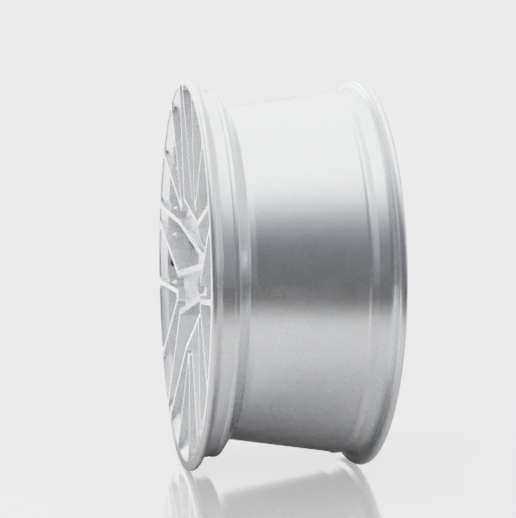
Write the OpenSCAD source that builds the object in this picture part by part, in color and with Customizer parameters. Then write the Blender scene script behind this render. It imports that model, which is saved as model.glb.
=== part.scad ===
// Two-piece forged racing wheel rim: milled mesh face, bolted inner barrel, tyre valve and centre cap.
// Millimetres. The wheel turns about Y, its face looks to -Y, and the origin is the middle of the rim.

/* [Rim] */
// Radius over the two rim flanges
rim_r = 261; // [230:1:290]
// Width over the two rim flanges
rim_w = 237; // [215:1:270]
// Height of a flange above its bead seat
flange_h = 17.3; // [15:0.1:20]
// Thickness of a flange
flange_t = 10.6; // [9:0.1:13]
// Depth of the well below the bead seat
well_d = 21.8; // [16:0.1:26]
// Thickness of the barrel wall
wall_t = 5; // [4:0.1:7]

/* [Face] */
// Turn of the face about the axle, so that one kite stands near the top
face_turn = -1.58; // [-36:0.01:36]
// Width of the kite legs
kite_w = 7.6; // [6:0.1:10]
// Width of the kite legs where they run down to the hub
root_w = 9; // [7:0.1:11]
// Width of the fork legs
fork_w = 6.8; // [5:0.1:9]
// Half angle of a kite at the lip
tip_a = 2.88; // [2.5:0.01:3.5]
// Radius of the bend in a kite leg
bend_r = 105.8; // [100:0.1:110]
// Half angle of a kite at its bends
bend_a = 20.8; // [20:0.1:21.5]
// Half angle of a kite at the hub
root_a = 6.6; // [6:0.1:7.5]
// Half angle of a fork at the lip
fork_a = 12.8; // [12:0.1:13.5]
// Radius where the two legs of a fork join
apex_r = 111.9; // [109:0.1:115]
// Depth of the face at the bends
bend_s = 8.7; // [6:0.1:11]
// Depth of the face at the hub
hub_s = 36; // [33:0.1:38]

/* [Hub] */
// Distance from the middle of the rim out to the mounting face
hub_offset = 45; // [40:0.5:50]
// Radius of the mounting face
pad_r = 76; // [73:0.5:80]
// Radius of the centre bore in the forging
bore_r = 36.55; // [35.5:0.05:38]
// Radius of the spigot that the hub ring fits
spigot_r = 33.3; // [32:0.05:34]
// Circle of the wheel bolts
lug_pcd = 112; // [110:0.5:114.5]
// Radius of a wheel bolt hole
lug_r = 7.5; // [6.5:0.1:8]

/* [Joint] */
// Distance from the barrel wall in to the circle of assembly bolts
joint_in = 10.9; // [10:0.1:14]
// Radius of an assembly bolt
bolt_r = 3.4; // [3:0.1:4]
// Length of an assembly bolt below its head
bolt_l = 23; // [20:0.5:25]

/* [Hidden] */
$fn = 96;
arms = 5;
pitch = 360 / arms;
half_w = rim_w / 2;

// Bead seat, slope, well and inner wall of the rim, with depths counted from the outboard lip
seat_r = rim_r - flange_h;
well_r = seat_r - well_d;
seam_s = flange_t + 19.9;
slope_s0 = seam_s + 6.5;
slope_r0 = seat_r - 0.1;
slope_l = 15;
slope_s1 = slope_s0 + slope_l;
slope_a = atan2(slope_r0 - well_r, slope_l);
mouth_r = seat_r - 7.6;
window_r = mouth_r - 5;
lip_r = rim_r - 11;
inner_r = well_r - wall_t;

// Flanges: a small crest, a long roll behind it and a fillet down to the seat
crest_r = 3.4;
roll_r = flange_t - crest_r;
fillet_r = 0.44 * flange_h;
hump_in = 37;

// Depths of the hub
pad_s = half_w - hub_offset;
cap_s = hub_s + 4;
shelf_s = cap_s + 10;
lug_s = cap_s + 4;
seat_l = 16;
root_r = 40.4;
cap_r = 37.4;
cap_bore_r = 31;
web_r = bend_r + 2.5;
kite_end = 66;
front_slope = (hub_s - bend_s) / (bend_r - root_r);

// Joint of the face and the barrel: the bosses stand a little proud and meet the ears of the barrel
joint_r = inner_r - joint_in;
step_s = seam_s + 2.5;
flange_s = step_s + 8;
boss_s = step_s + 0.5;
boss_l = 14.5;
ear_s = flange_s + 0.8;
boss_r = bolt_r + 4.4;
ear_r = bolt_r + 6.1;
washer_t = 1.5;
head_s = ear_s + washer_t;
seal_d = 2.4;

// Wheel bolt pockets, hub ring and cap
pocket_r = lug_r + 6.5;
seat_wall = 4;
relief_r = 9;
relief_d = 15;
ring_l = 12;
cap_l = 9;
cap_wall = 3.2;

// Valve: distances along its stem start at the wall on the tyre side
valve_part = 0.6;
valve_s = slope_s0 + valve_part * slope_l;
valve_r = slope_r0 - valve_part * (slope_r0 - well_r);
valve_wall = 5.5;
spot_r = 9.5;
hole_r = 5.75;
stem_r = 4.6;
stem_bore_r = 2.2;
thread_r = 3.85;
thread_at = 21;
stem_l = 36;
foot_r = 7.2;
foot_t = 2.6;
grommet_t = 2.4;
grommet_r = 8;
clamp_t = 1.4;
clamp_r = 6.9;
nut_r = 7.2;
nut_t = 5;
pin_r = 0.65;
dust_r = 5.2;
dust_l = 9;

silver = [0.86, 0.87, 0.88];
steel = [0.55, 0.56, 0.58];
brass = [0.72, 0.6, 0.35];
rubber = [0.08, 0.08, 0.09];
black = [0.15, 0.15, 0.16];

// Points and lines of the face, seen from outboard with a kite or fork pointing up
function up(r, a) = [r * sin(a), r * cos(a)];
function unit(v) = v / norm(v);
function flip(p) = [-p[0], p[1]];
function beside(p, q, d) = let (u = unit(q - p), n = [-u[1], u[0]] * d) [p + n, q + n];
function meet(m, n) = let (d = m[1] - m[0], e = n[1] - n[0], w = n[0] - m[0])
    m[0] + d * (w[0] * e[1] - w[1] * e[0]) / (d[0] * e[1] - d[1] * e[0]);
function ring_meet(m, r) = let (d = unit(m[1] - m[0]), b = m[0] * d)
    m[0] + d * (sqrt(b * b - m[0] * m[0] + r * r) - b);
function angle_of(p) = atan2(p[0], p[1]);

// Outline with every corner rounded to its own radius
function arc(m, p, q, n) = let (a = atan2(p[1] - m[1], p[0] - m[0]), b = atan2(q[1] - m[1], q[0] - m[0]),
    t = b - a > 180 ? b - a - 360 : b - a < -180 ? b - a + 360 : b - a)
    [for (i = [0:n]) m + norm(p - m) * [cos(a + t * i / n), sin(a + t * i / n)]];
function corner(a, b, c, r, n = 0) = let (u = unit(a - b), v = unit(c - b), h = acos(u * v) / 2,
    m = b + unit(u + v) * r / sin(h), steps = n > 0 ? n : r < 3 ? 1 : r > 50 ? 3 : 4)
    arc(m, b + u * r / tan(h), b + v * r / tan(h), steps);
function rounded(p, r) = let (n = len(p))
    [for (i = [0:n - 1]) each corner(p[(i + n - 1) % n], p[i], p[(i + 1) % n], r[i])];

// Legs of a kite on its right hand side, and of a fork on its right hand side
kite_tip = up(lip_r + 2, tip_a);
kite_bend = up(bend_r, bend_a);
kite_root = up(root_r, root_a);
fork_tip = up(lip_r + 2, fork_a);
fork_apex = up(apex_r, 2);
function turned(p, a) = up(norm(p), angle_of(p) + a);
function other(p) = turned(flip(p), pitch / 2);

function kite_outline(r, end, r_out) = let (leg = beside(kite_bend, kite_tip, kite_w / 2),
    root = beside(kite_root, kite_bend, root_w / 2), a = ring_meet(leg, r), b = meet(leg, root),
    c = meet(root, [[0, end], [1, end]])) rounded([a, b, c, flip(c), flip(b), flip(a)],
    [r_out, 9, 7, 7, 9, r_out]);
function tip_outline(r, gap, inner, r_out) = let (leg = beside(kite_bend, kite_tip, kite_w / 2 + gap),
    a = ring_meet(leg, r), b = ring_meet(leg, inner)) rounded([a, b, flip(b), flip(a)],
    [r_out, 1, 1, r_out]);
function gap_outline(r, gap, inner, r_out, r_in) = let (leg = beside(kite_bend, kite_tip, -kite_w / 2 - gap),
    fork = beside(other(fork_apex), other(fork_tip), fork_w / 2 + gap), a = ring_meet(leg, r),
    c = ring_meet(fork, r), b = up(r, (angle_of(a) + angle_of(c)) / 2))
    rounded([a, b, c, ring_meet(fork, inner), ring_meet(leg, inner)], [r_out, 0.6 * r, r_out, r_in, r_in]);
function fork_outline(r, r_out) = let (leg = beside(fork_apex, fork_tip, fork_w / 2),
    a = ring_meet(leg, r), b = meet(leg, [[0, 0], [0, 1]]))
    rounded([a, b, flip(a), [0, r]], [r_out, 6, r_out, 0.6 * r]);
function mouth_outline(r, gap, inner, r_out) = let (leg = beside(fork_apex, fork_tip, fork_w / 2 + gap),
    a = ring_meet(leg, r), b = ring_meet(leg, inner))
    rounded([a, b, flip(b), flip(a), [0, r]], [r_out, 1, 1, r_out, 0.6 * r]);

// Floor of the milled bowl between two kites, round one wheel bolt
function bowl_outline() = let (root = beside(other(kite_root), other(kite_bend), root_w / 2),
    leg = beside(other(kite_bend), other(kite_tip), kite_w / 2), a = ring_meet(root, root_r + 4),
    b = meet(root, leg), e = up(web_r - 1, angle_of(fork_apex) + 2.1),
    c = up(web_r + 7, (angle_of(b) + angle_of(e)) / 2))
    rounded([a, b, c, e, flip(e), flip(c), flip(b), flip(a)], [4, 1, 1, 1.5, 1.5, 1, 1, 4]);
function kite_pocket() = let (root = beside(kite_root, kite_bend, root_w / 2 + 0.3),
    a = meet(root, [[0, kite_end + 6], [1, kite_end + 6]]), b = meet(root, [[0, 0], [0, 1]]))
    rounded([a, b + [1.5, 2], flip(b + [1.5, 2]), flip(a)], [1, 1, 1, 1]);

// Turned solid from points given as radius and depth below the outboard lip
module turned_solid(points) {
    rotate_extrude() polygon([for (p = points) [p[0], half_w - p[1]]]);
}

// Places children at every arm, turned by an extra angle
module each_arm(a = 0) {
    for (i = [0:arms - 1]) rotate([0, 0, -face_turn - a - i * pitch]) children();
}

// Children built about +z with the face up, turned so that the axle lies along Y
module in_place() {
    rotate([90, 0, 0]) children();
}

// Children built along the valve stem
module on_valve() {
    in_place() translate([-valve_r, 0, half_w - valve_s]) rotate([0, 90 - slope_a, 0]) children();
}

// Angles of the four assembly bolts of one arm
kite_bolt_a = angle_of(ring_meet([kite_bend, kite_tip], joint_r));
fork_bolt_a = pitch / 2 - angle_of(ring_meet([fork_apex, fork_tip], joint_r));
module each_bolt() {
    for (a = [-kite_bolt_a, kite_bolt_a, fork_bolt_a, pitch - fork_bolt_a])
        each_arm(a) translate([0, joint_r, 0]) children();
}

// Solid between two depths below the lip
module drum(r, s0, s1) {
    translate([0, 0, half_w - s1]) cylinder(r = r, h = s1 - s0);
}

// Points of a flange from its lip face to the bead seat, with depths counted from that lip
flange_edge = concat(
    arc([rim_r - crest_r, crest_r], [rim_r - crest_r, 0], [rim_r, crest_r], 6),
    arc([rim_r - roll_r, crest_r], [rim_r, crest_r], [rim_r - roll_r, flange_t], 8),
    arc([seat_r + fillet_r + 0.2, flange_t + fillet_r], [seat_r + fillet_r + 0.2, flange_t],
        [seat_r + 0.2, flange_t + fillet_r], 8));

module face_blank() {
    turned_solid(concat(
        [[cap_bore_r, shelf_s], [cap_bore_r, cap_s], [cap_r + 0.6, cap_s],
        [cap_r + 0.6, hub_s + (root_r - cap_r - 0.6) * front_slope], [bend_r, bend_s]],
        [[lip_r, 0]], flange_edge,
        [[seat_r - 1, seam_s], [mouth_r, seam_s], [mouth_r, step_s], [joint_r - 12, step_s],
        [bend_r, step_s + 15], [pad_r + 7, step_s + 20], [pad_r + 1.5, pad_s - 4], [pad_r - 1.5, pad_s],
        [bore_r, pad_s], [bore_r, shelf_s]]));
}

module window(outline) {
    linear_extrude(2 * rim_w, center = true) polygon(outline);
}
module windows() {
    gap = gap_outline(window_r, 0, web_r, 13, 6.5);
    each_arm() window(kite_outline(window_r, kite_end, 8));
    each_arm() window(gap);
    each_arm() window([for (p = gap) flip(p)]);
    each_arm(pitch / 2) window(fork_outline(window_r, 13));
}

// Dished shelf between the spoke ends, falling from the lip to the windows
module dish_cut(outline) {
    intersection() {
        turned_solid([[window_r - 22, -8], [lip_r + 0.5, -8], [lip_r + 0.5, 0.8],
            [window_r, 10], [window_r - 22, 14]]);
        linear_extrude(rim_w) polygon(outline);
    }
}
module dish_cuts() {
    inner = window_r - 30;
    gap = gap_outline(lip_r, 0.3, inner, 9, 1);
    each_arm() dish_cut(tip_outline(lip_r, 0.3, inner, 4));
    each_arm() dish_cut(gap);
    each_arm() dish_cut([for (p = gap) flip(p)]);
    each_arm(pitch / 2) dish_cut(mouth_outline(lip_r, 0.3, inner, 9));
}

// Bowls round the wheel bolts and small pockets at the roots of the kites
module bowl_cut(outline) {
    intersection() {
        turned_solid([[root_r - 2, -8], [web_r + 12, -8], [web_r + 12, bend_s + 7.5],
            [bend_r, bend_s + 8.5], [bend_r - 16, bend_s + 14], [root_r + 4, hub_s + 4.5],
            [root_r - 2, hub_s + 6]]);
        linear_extrude(rim_w) polygon(outline);
    }
}
module bowl_cuts() {
    each_arm(pitch / 2) bowl_cut(bowl_outline());
    each_arm() bowl_cut(kite_pocket());
}

module forged_face() {
    color(silver) in_place() difference() {
        union() {
            difference() {
                difference() {
                    face_blank();
                    dish_cuts();
                    bowl_cuts();
                }
                windows();
            }
            // bosses behind the spokes for the assembly bolts
            each_bolt() {
                drum(boss_r, boss_s - boss_l, boss_s);
                translate([0, 0, half_w - boss_s + boss_l]) cylinder(r1 = boss_r, r2 = kite_w / 2, h = 7);
            }
        }
        each_bolt() drum(bolt_r + 0.08, head_s - bolt_l - 1, boss_s + 1);
        // wheel bolt pockets, seats and holes
        each_arm(pitch / 2) translate([0, lug_pcd / 2, 0]) {
            drum(pocket_r, 0, lug_s);
            drum(lug_r + seat_wall, lug_s - 1, lug_s + seat_l);
            drum(lug_r, lug_s, pad_s + 1);
        }
        // pockets in the mounting face behind the kites
        each_arm() translate([0, lug_pcd / 2 - 3.5, 0]) drum(relief_r, pad_s - relief_d, pad_s + 1);
        // gland of the joint seal
        turned_solid([[mouth_r + 1.2, seam_s - seal_d], [mouth_r + 5, seam_s - seal_d],
            [mouth_r + 5, seam_s + 1], [mouth_r + 1.2, seam_s + 1]]);
    }
}

// Points of the barrel outside from the seam to the inboard lip, then inside back to the flange
barrel_edge = concat(
    [[seat_r - 1, seam_s], [slope_r0, seam_s + 1.4]],
    corner([slope_r0, seam_s], [slope_r0, slope_s0], [well_r, slope_s1], 3.5, 5),
    corner([slope_r0, slope_s0], [well_r, slope_s1], [well_r, slope_s1 + 9], 4, 5),
    [[well_r, slope_s1 + 9], [seat_r - 1.4, rim_w - hump_in - 6], [seat_r + 0.3, rim_w - hump_in - 3],
    [seat_r + 0.3, rim_w - hump_in], [seat_r - 0.8, rim_w - hump_in + 7]],
    [for (i = [len(flange_edge) - 1:-1:0]) [flange_edge[i][0], rim_w - flange_edge[i][1]]],
    [[lip_r + 1, rim_w], [lip_r - 1.5, rim_w - 2.5], [seat_r - 0.7, rim_w - flange_t - 1.4],
    [seat_r - wall_t - 0.6, rim_w - hump_in + 4], [seat_r - wall_t - 1.4, rim_w - hump_in - 9],
    [inner_r, slope_s1 + 13], [inner_r, slope_s1 - 4], [inner_r + 8, flange_s + 2],
    [inner_r + 6.5, flange_s], [joint_r + 8, flange_s],
    [joint_r + 8, step_s], [mouth_r + 0.08, step_s], [mouth_r + 0.08, seam_s]]);

module inner_barrel() {
    color(silver) difference() {
        in_place() difference() {
            union() {
                turned_solid(barrel_edge);
                // ears that carry the assembly bolts
                each_bolt() {
                    drum(ear_r, boss_s, ear_s);
                    translate([-ear_r, 0, half_w - ear_s])
                        cube([2 * ear_r, inner_r + 7.6 - joint_r, ear_s - boss_s]);
                }
            }
            each_bolt() drum(bolt_r + 0.35, boss_s - 1, ear_s + 1);
        }
        // valve hole and the flat spot round it
        on_valve() translate([0, 0, -20]) cylinder(r = hole_r, h = 40);
        on_valve() translate([0, 0, valve_wall]) cylinder(r = spot_r, h = 30);
    }
}

module joint_seal() {
    color(rubber) in_place() turned_solid([[mouth_r + 1.5, seam_s - seal_d],
        [mouth_r + 4.7, seam_s - seal_d], [mouth_r + 4.7, seam_s], [mouth_r + 1.5, seam_s]]);
}

module assembly_bolts() {
    color(steel) in_place() each_bolt() {
        drum(bolt_r, head_s - bolt_l, head_s + 1);
        drum(bolt_r + 2.5, head_s, head_s + 1.6);
        for (a = [0, 30]) rotate([0, 0, a]) translate([0, 0, half_w - head_s - 7.5])
            cylinder(r = bolt_r + 1.5, h = 6.5, $fn = 6);
    }
}

module assembly_washers() {
    color(steel) in_place() each_bolt() difference() {
        drum(bolt_r + 3.6, ear_s, head_s);
        drum(bolt_r + 0.3, ear_s - 1, head_s + 1);
    }
}

// Steel cone seat pressed into the forging for one wheel bolt
module lug_seat(i) {
    color(steel) in_place() rotate([0, 0, -face_turn - pitch * (i - 0.5)])
        translate([0, lug_pcd / 2, 0]) turned_solid([[lug_r, lug_s + seat_l], [lug_r, lug_s + 6],
        [lug_r + seat_wall - 0.8, lug_s + 0.4], [lug_r + seat_wall - 0.4, lug_s],
        [lug_r + seat_wall, lug_s + 0.4], [lug_r + seat_wall, lug_s + seat_l]]);
}
module lug_seat_1() lug_seat(1);
module lug_seat_2() lug_seat(2);
module lug_seat_3() lug_seat(3);
module lug_seat_4() lug_seat(4);
module lug_seat_5() lug_seat(5);

module hub_ring() {
    color(black) in_place() turned_solid([[spigot_r, pad_s - ring_l], [bore_r - 0.6, pad_s - ring_l],
        [bore_r, pad_s - ring_l + 0.6], [bore_r, pad_s], [spigot_r + 1, pad_s], [spigot_r, pad_s - 1]]);
}

// Plain snap-in cap, a cup that opens inboard, with a groove for its spring ring
clip_s = cap_s + cap_l / 2;
clip_gap = 0.35;
module centre_cap() {
    color(silver) in_place() turned_solid([[0, cap_s - cap_wall], [cap_r - 5.5, cap_s - cap_wall],
        [cap_r - 4.5, cap_s - cap_wall - 1], [cap_r - 1.4, cap_s - cap_wall - 1],
        [cap_r, cap_s - cap_wall + 0.4], [cap_r, cap_s], [cap_bore_r - 0.08, cap_s],
        [cap_bore_r - 0.08, clip_s - 0.1], [cap_bore_r - 1.5, clip_s - 0.1], [cap_bore_r - 1.5, clip_s + 1.7],
        [cap_bore_r - 0.08, clip_s + 1.7], [cap_bore_r - 0.6, cap_s + cap_l],
        [cap_bore_r - cap_wall, cap_s + cap_l], [cap_bore_r - cap_wall, cap_s], [0, cap_s]]);
}

module cap_disc() {
    disc_s = cap_s - cap_wall;
    color(steel) in_place() turned_solid([[0, disc_s - 1.2], [cap_r - 6.2, disc_s - 0.8],
        [cap_r - 5.8, disc_s - 0.4], [cap_r - 5.8, disc_s], [0, disc_s]]);
}

module cap_spring_ring() {
    color(steel) in_place() difference() {
        turned_solid([[cap_bore_r - 1.5, clip_s], [cap_bore_r - 0.7, clip_s],
            [cap_bore_r - clip_gap, clip_s + 0.5], [cap_bore_r - clip_gap, clip_s + 1.1],
            [cap_bore_r - 0.7, clip_s + 1.6], [cap_bore_r - 1.5, clip_s + 1.6]]);
        translate([0, cap_bore_r, half_w - clip_s - 1.5]) cube([3, 10, 10], center = true);
    }
}

module valve_stem() {
    color(steel) on_valve() difference() {
        union() {
            translate([0, 0, -grommet_t - foot_t]) cylinder(r = foot_r, h = foot_t);
            translate([0, 0, -grommet_t - 0.1]) cylinder(r = stem_r, h = grommet_t + thread_at - 0.4);
            translate([0, 0, thread_at - 1]) cylinder(r1 = stem_r, r2 = thread_r, h = 1.5);
            translate([0, 0, thread_at]) cylinder(r = thread_r, h = stem_l - thread_at);
        }
        translate([0, 0, -10]) cylinder(r = stem_bore_r, h = stem_l + 20);
    }
}

module valve_grommet() {
    color(rubber) on_valve() difference() {
        union() {
            translate([0, 0, -grommet_t]) cylinder(r = grommet_r, h = grommet_t);
            cylinder(r = hole_r - 0.05, h = valve_wall - 1);
        }
        translate([0, 0, -5]) cylinder(r = stem_r + 0.05, h = valve_wall + 10);
    }
}

module valve_washer() {
    color(steel) on_valve() translate([0, 0, valve_wall]) difference() {
        cylinder(r = clamp_r, h = clamp_t);
        translate([0, 0, -1]) cylinder(r = stem_r + 0.3, h = clamp_t + 2);
    }
}

module valve_nut() {
    color(steel) on_valve() translate([0, 0, valve_wall + clamp_t]) difference() {
        rotate([0, 0, 30]) cylinder(r = nut_r, h = nut_t, $fn = 6);
        translate([0, 0, -1]) cylinder(r = stem_r + 0.05, h = nut_t + 2);
    }
}

module valve_core() {
    color(brass) on_valve() difference() {
        union() {
            translate([0, 0, stem_l - 8]) cylinder(r = stem_bore_r - 0.05, h = 7);
            translate([0, 0, stem_l - 14]) cylinder(r = stem_bore_r - 0.4, h = 6.5);
        }
        translate([0, 0, stem_l - 20]) cylinder(r = pin_r + 0.1, h = 30);
    }
}

module valve_pin() {
    color(steel) on_valve() {
        translate([0, 0, stem_l - 18]) cylinder(r = pin_r, h = 17.6);
        translate([0, 0, stem_l - 17]) cylinder(r = stem_bore_r - 0.6, h = 2.9);
    }
}

module valve_cap() {
    color(black) on_valve() difference() {
        union() {
            translate([0, 0, stem_l - dust_l]) cylinder(r = dust_r, h = dust_l + 1.4);
            translate([0, 0, stem_l + 1.4]) cylinder(r1 = dust_r, r2 = dust_r - 1, h = 1.1);
        }
        translate([0, 0, stem_l - dust_l - 1]) cylinder(r = thread_r + 0.08, h = dust_l + 2.05);
    }
}

module valve_cap_liner() {
    color(rubber) on_valve() difference() {
        translate([0, 0, stem_l + 0.05]) cylinder(r = thread_r, h = 1);
        translate([0, 0, stem_l - 1]) cylinder(r = 1.5, h = 4);
    }
}

forged_face();
inner_barrel();
joint_seal();
assembly_bolts();
assembly_washers();
lug_seat_1();
lug_seat_2();
lug_seat_3();
lug_seat_4();
lug_seat_5();
hub_ring();
centre_cap();
cap_disc();
cap_spring_ring();
valve_stem();
valve_grommet();
valve_washer();
valve_nut();
valve_core();
valve_pin();
valve_cap();
valve_cap_liner();
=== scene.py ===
import bpy
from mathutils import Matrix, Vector


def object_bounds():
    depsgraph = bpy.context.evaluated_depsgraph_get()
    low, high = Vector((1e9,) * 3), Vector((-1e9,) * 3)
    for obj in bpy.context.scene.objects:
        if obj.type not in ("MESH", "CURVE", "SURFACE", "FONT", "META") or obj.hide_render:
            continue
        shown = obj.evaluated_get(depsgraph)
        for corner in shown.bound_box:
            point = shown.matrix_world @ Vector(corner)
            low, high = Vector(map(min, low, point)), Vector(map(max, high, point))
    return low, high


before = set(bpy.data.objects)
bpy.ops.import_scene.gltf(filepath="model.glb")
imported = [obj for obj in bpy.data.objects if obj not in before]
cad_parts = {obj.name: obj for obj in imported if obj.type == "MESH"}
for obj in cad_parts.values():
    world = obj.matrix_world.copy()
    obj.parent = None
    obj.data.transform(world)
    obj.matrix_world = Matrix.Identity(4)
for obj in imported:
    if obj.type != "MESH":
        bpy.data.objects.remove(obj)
cad_box = [list(corner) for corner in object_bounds()]
scene = bpy.context.scene

# Camera, fitted to the photograph: metres in the wheel's own frame, lens and sensor in millimetres
CAMERA_AT = (2.0138, -0.3918, 0.1512)
CAMERA_TARGET = (0.0, -0.0156, 0.0180)
CAMERA_LENS = 106.2
SENSOR_WIDTH = 36.0

# Finishes: lengths in metres; only the middle of a grain's range is used
GRAIN_LOW = 0.3
GRAIN_HIGH = 0.7
FORGED_EDGE = 0.0006
SMALL_EDGE = 0.0002
EDGE_SAMPLES = 4

# Silver lacquer: on the face it is less metallic inside the radius where the spokes end
WHEEL_RADIUS = (cad_box[1][2] - cad_box[0][2]) / 2
SPOKES_END = WHEEL_RADIUS - 0.025
RIM_STARTS = WHEEL_RADIUS - 0.019
LACQUER_METALLIC = 0.95
SPOKE_METALLIC = 0.5
LACQUER_ROUGH = (0.25, 0.30)
COAT_ROUGH = 0.1
FLAKE_COLOURS = ((0.935, 0.945, 0.955), (0.965, 0.97, 0.975))
ORANGE_PEEL = 5e-7
FACE_LINES = 1e-6
BARREL_LINES = 1.5e-6

# Other finishes: dark and light colour, roughness, grains per metre and height of the grain
PLATED_STEEL = ((0.42, 0.43, 0.45), (0.58, 0.59, 0.61), 0.3, 1500, 5e-6)
TURNED_STEEL = ((0.4, 0.41, 0.43), (0.56, 0.57, 0.6), 0.33, 2500, 8e-6)
ALUMINIUM = ((0.68, 0.69, 0.7), (0.82, 0.83, 0.84), 0.27, 2200, 5e-6)
BRASS = ((0.6, 0.44, 0.2), (0.74, 0.56, 0.28), 0.3, 3000, 5e-6)
RUBBER = ((0.012, 0.012, 0.012), (0.028, 0.028, 0.028), 0.72, 1200, 2e-5)
NYLON = ((0.018, 0.018, 0.02), (0.032, 0.032, 0.035), 0.5, 2500, 1e-5)

# Scale of a place or a grain along X, Y and Z; a small one draws the grain out into lines
EVEN = (1, 1, 1)
ACROSS_AXLE = (1, 0, 1)
FINE_TURNING = (0.02, 1, 0.02)
SEAT_TURNING = (0.1, 1, 0.1)

# How much smoother and rougher the grain makes metal and polymer
METAL_SMOOTHER = 0.05
METAL_ROUGHER = 0.07
POLYMER_SPAN = 0.06

# Studio: light as shares of white, bright above and behind, dark on the side of the camera
WHITE = (1, 1, 1)
BACKDROP = 0.83
STUDIO = 0.88
SHADE_TINT = (0.95, 0.98, 1.08)
BRIGHT_WAY = (-0.469, 0.2, 0.883)
BRIGHT_COSINES = (-0.16, 0.56)
# Steps: where each starts and ends, and its level at its start and end. The dark side is less dark behind
# the wheel, and the other two are shares of the light that are left.
DARK_SIDE = (-0.1, 0.6, 0.147, 0.33)
AXLE_ENDS = (0.35, 0.6, 1.0, 0.78)
HORIZON = (0.1, 0.55, 0.9, 1.0)
# Soft panels: the middle of each, the cosines where it starts and is full, and its light
PANELS = (
    ((-0.86, -0.50, 0.05), 0.90, 0.97, 0.22),
    ((0.0, 1.0, 0.0), 0.88, 0.99, 0.2),
    ((0.0, -0.98, 0.2), 0.5, 0.95, 0.08),
)

# Floor: metres, and shares of white
FLOOR_Z = cad_box[0][2]
FLOOR_HALF = 9.0
FLOOR_GLOW = 0.405
FLOOR_MATT = 0.1
FLOOR_GLOSS = 0.42
FLOOR_ROUGH = 0.08
# Steps: where each starts and ends, and its level at its start and end
FLOOR_FADE = (0.6, 1.3, 0.0, 1.0)
# What the wheel sees of the floor is painted darker close to the wheel: painted shade
FLOOR_NEAR_PAINTED_SHADE = (0.03, 0.18, 0.5, 0.68)
# Behind the wheel, what it sees of the floor glows at the backdrop's level with no shadow on it: painted
# light
FLOOR_REAR_PAINTED_GLOW = (-0.4, -0.05, 1.0, 0.0)
# On the side of the camera, what the wheel sees of the floor is painted down to a dark shade between two
# places: painted shade, which the wheel mirrors
PAINTED_DARK_FROM = (0.59, 1.09)
PAINTED_DARK = 0.1

# Lamps: place and target in metres, side in metres, watts, and whether metal mirrors the lamp
LAMPS = {
    "side_spot": ((2.08, 2.08, 0.55), (0.2, 0.0, 0.0), 0.25, 0.8, True),
    "side_key": ((1.9, -1.1, 0.45), (0.0, -0.1, 0.0), 1.0, 14.0, False),
    "front_key": ((-0.5, -1.8, 1.6), (0.0, -0.1, 0.0), 1.4, 15.0, False),
}


def feed(tree, socket, value):
    """Links an output of another node to an input, or sets the input to a plain value."""
    if isinstance(value, bpy.types.NodeSocket):
        tree.links.new(value, socket)
    else:
        socket.default_value = value


def set_inputs(tree, node, **values):
    """Feeds inputs by name; an underscore stands for a blank."""
    for key, value in values.items():
        feed(tree, node.inputs[key.replace("_", " ")], value)


def add(tree, kind, **values):
    """A node of one kind with some of its inputs fed by name."""
    node = tree.nodes.new("ShaderNode" + kind)
    set_inputs(tree, node, **values)
    return node


def combine(tree, kind, *values):
    """A node with its inputs fed in their order."""
    node = tree.nodes.new("ShaderNode" + kind)
    for socket, value in zip(node.inputs, values):
        feed(tree, socket, value)
    return node


def calculate(tree, kind, operation, *values):
    """The plain number that a node of arithmetic gives."""
    node = combine(tree, kind, *values)
    node.operation = operation
    return node.outputs["Value"]


def ramp(tree, value, start, end, low, high, kind="SMOOTHSTEP"):
    """Passes from one level to another between two values."""
    node = add(tree, "MapRange", Value=value, From_Min=start, From_Max=end, To_Min=low, To_Max=high)
    node.interpolation_type = kind
    return node.outputs["Result"]


def spread(tree, grain, low, high):
    """Maps a grain to a range of plain numbers."""
    return ramp(tree, grain, GRAIN_LOW, GRAIN_HIGH, low, high, "LINEAR")


def tint(tree, level, dark, light):
    """Maps a grain or a level of light to a colour between two."""
    node = add(tree, "ValToRGB", Fac=level)
    dark_end, light_end = node.color_ramp.elements
    dark_end.position = GRAIN_LOW
    dark_end.color = (*dark, 1)
    light_end.position = GRAIN_HIGH
    light_end.color = (*light, 1)
    return node.outputs["Color"]


def on_wheel(tree, scale):
    """Place on the wheel in metres, each axis times its scale."""
    place = add(tree, "TexCoord").outputs["Object"]
    return add(tree, "Mapping", Vector=place, Scale=scale).outputs["Vector"]


def noise(tree, scale, detail=2.0, stretch=EVEN):
    """Grain, drawn out along some axes."""
    place = on_wheel(tree, stretch)
    return add(tree, "TexNoise", Vector=place, Scale=scale, Detail=detail).outputs["Fac"]


def bumps(tree, shader, grains, edge):
    """Stacks grains of (value, height) as relief, on edges of a soft radius or on plain facets."""
    if edge:
        bevel = add(tree, "Bevel", Radius=edge)
        bevel.samples = EDGE_SAMPLES
        normal = bevel.outputs["Normal"]
    else:
        normal = add(tree, "NewGeometry").outputs["True Normal"]
    for grain, height in grains:
        bump = add(tree, "Bump", Strength=1.0, Distance=height, Height=grain, Normal=normal)
        normal = bump.outputs["Normal"]
    set_inputs(tree, shader, Normal=normal)


def new_material(name):
    """A material with its node tree and its shader."""
    material = bpy.data.materials.new(name)
    material.use_nodes = True
    return material, material.node_tree, material.node_tree.nodes["Principled BSDF"]


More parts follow.
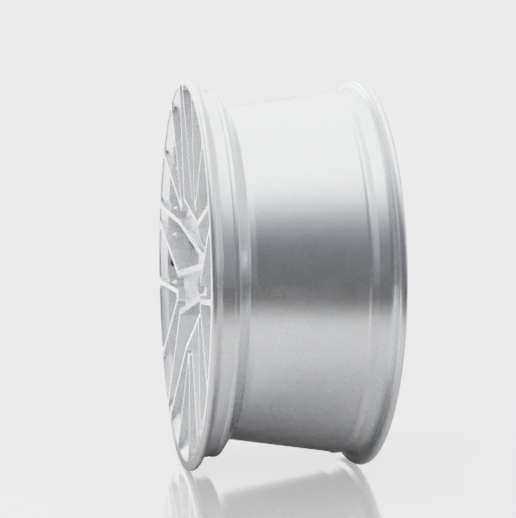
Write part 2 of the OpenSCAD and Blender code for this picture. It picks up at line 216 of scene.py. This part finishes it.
def lacquer(name, lines_height, spoke_metallic=None):
    """Bright silver lacquer over forged aluminium, with flakes, orange peel and faint turning lines."""
    material, tree, shader = new_material(name)
    metallic = LACQUER_METALLIC
    if spoke_metallic:
        radius = calculate(tree, "VectorMath", "LENGTH", on_wheel(tree, ACROSS_AXLE))
        metallic = ramp(tree, radius, SPOKES_END, RIM_STARTS, spoke_metallic, LACQUER_METALLIC, "LINEAR")
    flakes = noise(tree, scale=7000, detail=1.0)
    clouds = noise(tree, scale=45)
    peel = noise(tree, scale=420)
    lines = noise(tree, scale=900, detail=3.0, stretch=FINE_TURNING)
    set_inputs(
        tree,
        shader,
        Base_Color=tint(tree, flakes, *FLAKE_COLOURS),
        Metallic=metallic,
        Roughness=spread(tree, clouds, *LACQUER_ROUGH),
        Coat_Weight=1.0,
        Coat_Roughness=COAT_ROUGH,
    )
    bumps(tree, shader, [(peel, ORANGE_PEEL), (lines, lines_height)], FORGED_EDGE)
    return material


def metal(name, dark, light, rough, grain, height, stretch=EVEN, edge=SMALL_EDGE):
    """Bare metal with its machining marks."""
    material, tree, shader = new_material(name)
    marks = noise(tree, grain, detail=3.0, stretch=stretch)
    colour = tint(tree, marks, dark, light)
    roughness = spread(tree, marks, rough - METAL_SMOOTHER, rough + METAL_ROUGHER)
    set_inputs(tree, shader, Base_Color=colour, Roughness=roughness, Metallic=1.0)
    bumps(tree, shader, [(marks, height)], edge)
    return material


def polymer(name, dark, light, rough, grain, height):
    """Rubber or moulded plastic with its fine surface texture."""
    material, tree, shader = new_material(name)
    pores = noise(tree, grain, detail=4.0)
    colour = tint(tree, pores, dark, light)
    roughness = spread(tree, pores, rough - POLYMER_SPAN, rough + POLYMER_SPAN)
    set_inputs(tree, shader, Base_Color=colour, Roughness=roughness)
    bumps(tree, shader, [(pores, height)], SMALL_EDGE)
    return material


def dress(material, *nodes):
    """Gives CAD nodes a finish."""
    for name in nodes:
        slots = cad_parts[name].data.materials
        slots.clear()
        slots.append(material)


def dress_wheel():
    """Gives every piece of the wheel its finish."""
    dress(lacquer("face_lacquer", FACE_LINES, SPOKE_METALLIC), "forged_face", "centre_cap")
    dress(lacquer("barrel_lacquer", BARREL_LINES), "inner_barrel")
    plated = metal("plated_steel", *PLATED_STEEL)
    dress(plated, "assembly_bolts", "assembly_washers", "cap_spring_ring", "valve_pin")
    seats = [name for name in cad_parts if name.startswith("lug_seat_")]
    dress(metal("turned_steel", *TURNED_STEEL, stretch=SEAT_TURNING), *seats)
    dress(metal("turned_aluminium", *ALUMINIUM), "valve_stem", "valve_nut", "valve_washer")
    # the disc is a very flat cone that looks even on plain facets
    dress(metal("disc_aluminium", *ALUMINIUM, edge=None), "cap_disc")
    dress(metal("valve_brass", *BRASS), "valve_core")
    dress(polymer("black_rubber", *RUBBER), "joint_seal", "valve_grommet", "valve_cap_liner")
    dress(polymer("black_nylon", *NYLON), "hub_ring", "valve_cap")


def towards(tree, direction, centre, start, end, low, high):
    """Light that grows towards one direction of the studio, between two cosines."""
    cosine = calculate(tree, "VectorMath", "DOT_PRODUCT", direction, centre)
    return ramp(tree, cosine, start, end, low, high)


def studio():
    """Pale studio above and behind, dark on the side of the camera; the camera sees a plain backdrop."""
    world = bpy.data.worlds.new("studio")
    world.use_nodes = True
    scene.world = world
    tree = world.node_tree
    direction = add(tree, "TexCoord").outputs["Generated"]
    axes = add(tree, "SeparateXYZ", Vector=direction).outputs
    shade = ramp(tree, axes["Y"], *DARK_SIDE)
    level = towards(tree, direction, BRIGHT_WAY, *BRIGHT_COSINES, shade, STUDIO)
    along = calculate(tree, "Math", "ABSOLUTE", axes["Y"])
    for share in (ramp(tree, along, *AXLE_ENDS), ramp(tree, axes["Z"], *HORIZON)):
        level = calculate(tree, "Math", "MULTIPLY", level, share)
    for centre, start, end, light in PANELS:
        panel = towards(tree, direction, centre, start, end, 0.0, light)
        level = calculate(tree, "Math", "ADD", level, panel)
    camera_ray = add(tree, "LightPath").outputs["Is Camera Ray"]
    seen = add(tree, "Mix", Factor=camera_ray, A=level, B=BACKDROP).outputs["Result"]
    colour = tint(tree, seen, SHADE_TINT, WHITE)
    set_inputs(tree, tree.nodes["Background"], Strength=seen, Color=colour)


def grey(level):
    """A shade of grey as a colour."""
    return (level, level, level, 1)


def shown_floor(tree, position, plain):
    """What the camera sees: a pale glossy floor that passes far off into the backdrop without an edge."""
    glow = add(tree, "Emission", Color=(*WHITE, 1), Strength=FLOOR_GLOW)
    matt = add(tree, "BsdfDiffuse", Color=grey(FLOOR_MATT))
    gloss = add(tree, "BsdfGlossy", Color=grey(FLOOR_GLOSS), Roughness=FLOOR_ROUGH)
    lit = combine(tree, "AddShader", glow.outputs[0], matt.outputs[0])
    shiny = combine(tree, "AddShader", lit.outputs[0], gloss.outputs[0])
    away = calculate(tree, "VectorMath", "LENGTH", position)
    far = ramp(tree, away, *FLOOR_FADE)
    return combine(tree, "MixShader", far, shiny.outputs[0], plain).outputs[0]


def painted_mirrored_floor(tree, position, plain):
    """What the wheel sees: pale under and behind it, with painted shade close to the wheel, a painted
    glow behind it that no shadow falls on, and painted dark on the side of the camera.
    """
    across = add(tree, "SeparateXYZ", Vector=position).outputs["X"]
    # painted shade: the floor that the wheel mirrors is given a darker colour close to it
    painted_near_shade = ramp(tree, across, *FLOOR_NEAR_PAINTED_SHADE)
    # painted shade: past the lit part on the camera's side the floor's colour falls to dark, and the
    # wheel mirrors it
    painted_floor_shade = ramp(tree, across, *PAINTED_DARK_FROM, painted_near_shade, PAINTED_DARK)
    painted_floor = add(tree, "BsdfDiffuse", Color=painted_floor_shade)
    # painted light: behind the wheel the floor glows at the backdrop's level, and the wheel's shadow does
    # not touch it
    painted_glow_share = ramp(tree, across, *FLOOR_REAR_PAINTED_GLOW)
    return combine(tree, "MixShader", painted_glow_share, painted_floor.outputs[0], plain).outputs[0]


def floor():
    """Floor that keeps the wheel's shadow and shows its reflection."""
    bpy.ops.mesh.primitive_plane_add(size=2 * FLOOR_HALF, location=(0, 0, FLOOR_Z))
    plane = bpy.context.object
    plane.name = "floor"
    material = bpy.data.materials.new("floor")
    material.use_nodes = True
    tree = material.node_tree
    tree.nodes.clear()
    position = add(tree, "NewGeometry").outputs["Position"]
    plain = add(tree, "Emission", Color=(*WHITE, 1), Strength=BACKDROP).outputs[0]
    mirrored = painted_mirrored_floor(tree, position, plain)
    shown = shown_floor(tree, position, plain)
    camera_ray = add(tree, "LightPath").outputs["Is Camera Ray"]
    surface = combine(tree, "MixShader", camera_ray, mirrored, shown).outputs[0]
    add(tree, "OutputMaterial", Surface=surface)
    plane.data.materials.append(material)


def aim(thing, at, to):
    """Puts a lamp or a camera in its place and turns it to its target."""
    thing.location = at
    thing.rotation_euler = (Vector(to) - Vector(at)).to_track_quat("-Z", "Y").to_euler()
    scene.collection.objects.link(thing)


def lamp(name, at, to, size, power, mirrored):
    """Soft square lamp that the camera doesn't see, and that metal mirrors or not."""
    data = bpy.data.lights.new(name, "AREA")
    data.size = size
    data.energy = power
    light = bpy.data.objects.new(name, data)
    light.visible_camera = False
    light.visible_glossy = mirrored
    aim(light, at, to)


def camera():
    """The camera of the photograph."""
    data = bpy.data.cameras.new("camera")
    data.lens = CAMERA_LENS
    data.sensor_width = SENSOR_WIDTH
    eye = bpy.data.objects.new("camera", data)
    aim(eye, CAMERA_AT, CAMERA_TARGET)
    scene.camera = eye


camera()
studio()
floor()
for lamp_name, lamp_values in LAMPS.items():
    lamp(lamp_name, *lamp_values)
dress_wheel()

scene.view_settings.view_transform = "Standard"
